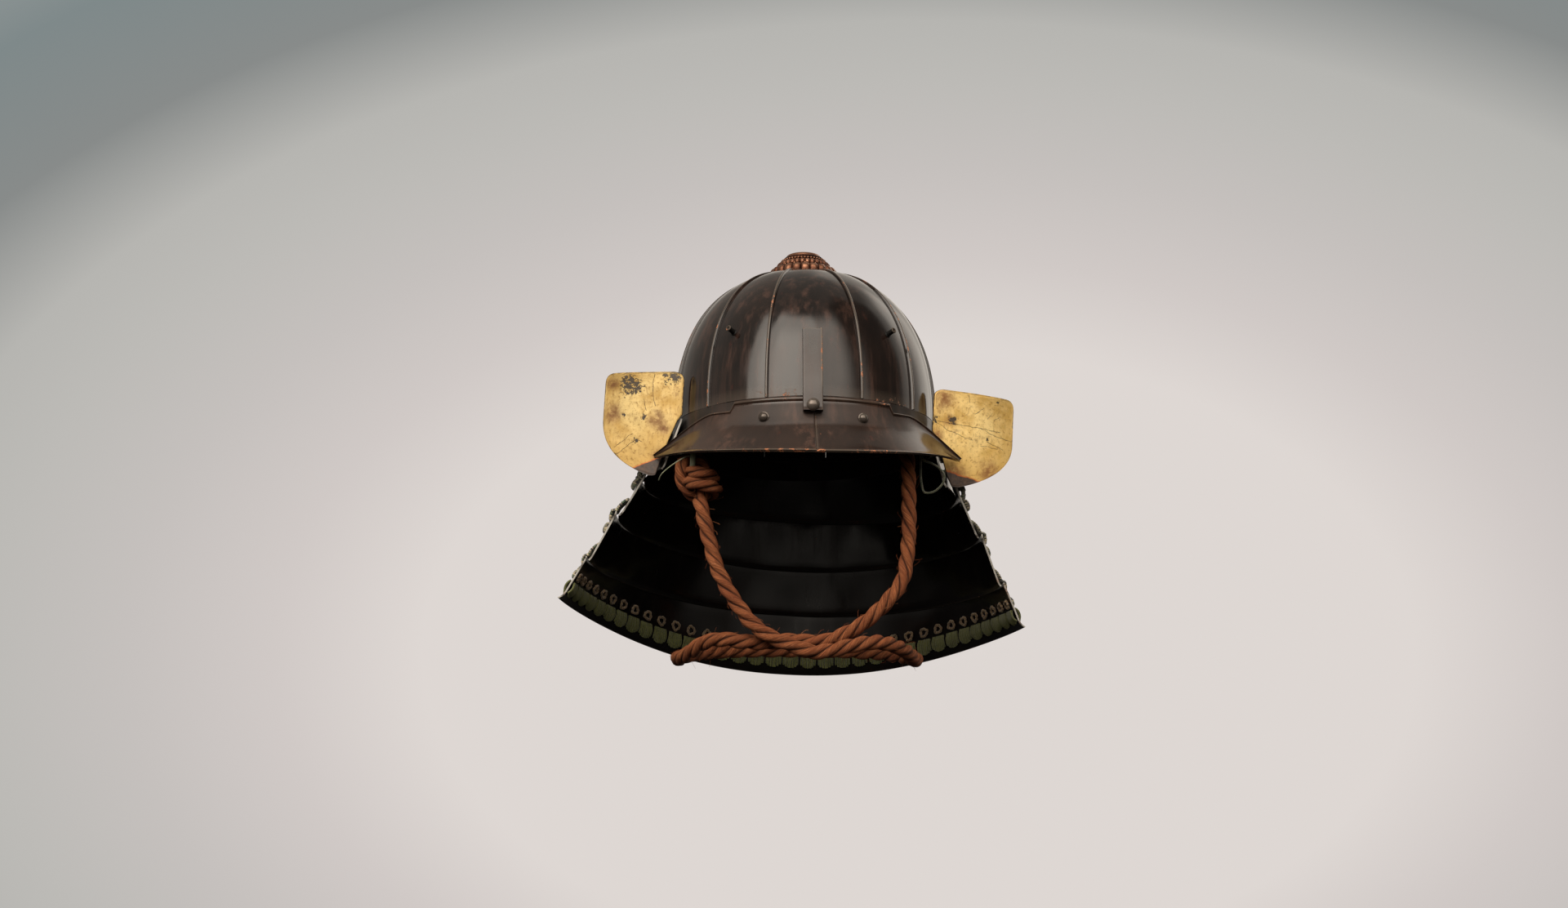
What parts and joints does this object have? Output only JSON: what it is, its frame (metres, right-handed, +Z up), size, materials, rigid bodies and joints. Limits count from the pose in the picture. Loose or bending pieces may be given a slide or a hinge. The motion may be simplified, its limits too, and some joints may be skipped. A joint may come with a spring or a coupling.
{
  "type": "kabuto samurai helmet",
  "caption": "Lacquered iron samurai helmet with a ridged plate bowl, peak, gilded turn-backs, a laced neck guard of lames and a twisted rope chin cord.",
  "frame": {"origin": "the seat of the head inside the crown, on the bowl's axis, under where the lining would be", "axes": "+Z up, -Y to the front over the peak, +X to the right of a viewer who faces the helmet"},
  "size_m": [0.4096, 0.3421, 0.3815],
  "materials": {
    "black_lacquer": "glossy brown-black lacquer with fine brush lines",
    "rubbed_lacquer": "rubbed, satin brown-black lacquer",
    "aged_copper": "aged dark copper, polished on its high places",
    "gold_leaf": "worn gold leaf on lacquer, with brown stains and cracks",
    "navy_silk": "braided navy silk lacing",
    "variegated_silk": "braided silk lacing in cream, green and navy",
    "rust_hemp": "twisted rust-brown plant-fibre rope",
    "green_braid": "small green and cream braid"
  },
  "bodies": {
    "root": {"bowl_plate_01": "black_lacquer", "bowl_plate_02": "black_lacquer", "bowl_plate_03": "black_lacquer", "bowl_plate_04": "black_lacquer", "bowl_plate_05": "black_lacquer", "bowl_plate_06": "black_lacquer", "bowl_plate_07": "black_lacquer", "bowl_plate_08": "black_lacquer", "bowl_plate_09": "black_lacquer", "bowl_plate_10": "black_lacquer", "bowl_plate_11": "black_lacquer", "bowl_plate_12": "black_lacquer", "bowl_base_band": "rubbed_lacquer", "peak": "black_lacquer", "crest_socket": "black_lacquer", "rivet_left": "black_lacquer", "rivet_right": "black_lacquer", "rivet_centre": "black_lacquer", "stud_front_left": "black_lacquer", "stud_front_right": "black_lacquer", "stud_back_left": "black_lacquer", "stud_back_right": "black_lacquer", "crown_petals_lower": "aged_copper", "crown_petals_upper": "aged_copper", "crown_collar": "aged_copper", "turnback_left": "gold_leaf", "turnback_right": "gold_leaf", "neck_lame_1": "black_lacquer", "neck_lame_2": "black_lacquer", "neck_lame_3": "black_lacquer", "neck_lame_4": "black_lacquer", "lacing_01": "variegated_silk", "lacing_02": "navy_silk", "lacing_03": "navy_silk", "lacing_04": "navy_silk", "lacing_05": "navy_silk", "lacing_06": "navy_silk", "lacing_07": "navy_silk", "lacing_08": "navy_silk", "lacing_09": "navy_silk", "lacing_10": "navy_silk", "lacing_11": "variegated_silk", "chin_cord": "rust_hemp", "chin_knot": "rust_hemp", "chin_cord_whipping": "green_braid", "tie_loop_left": "green_braid", "tie_loop_right": "green_braid"}
  },
  "joints": []
}
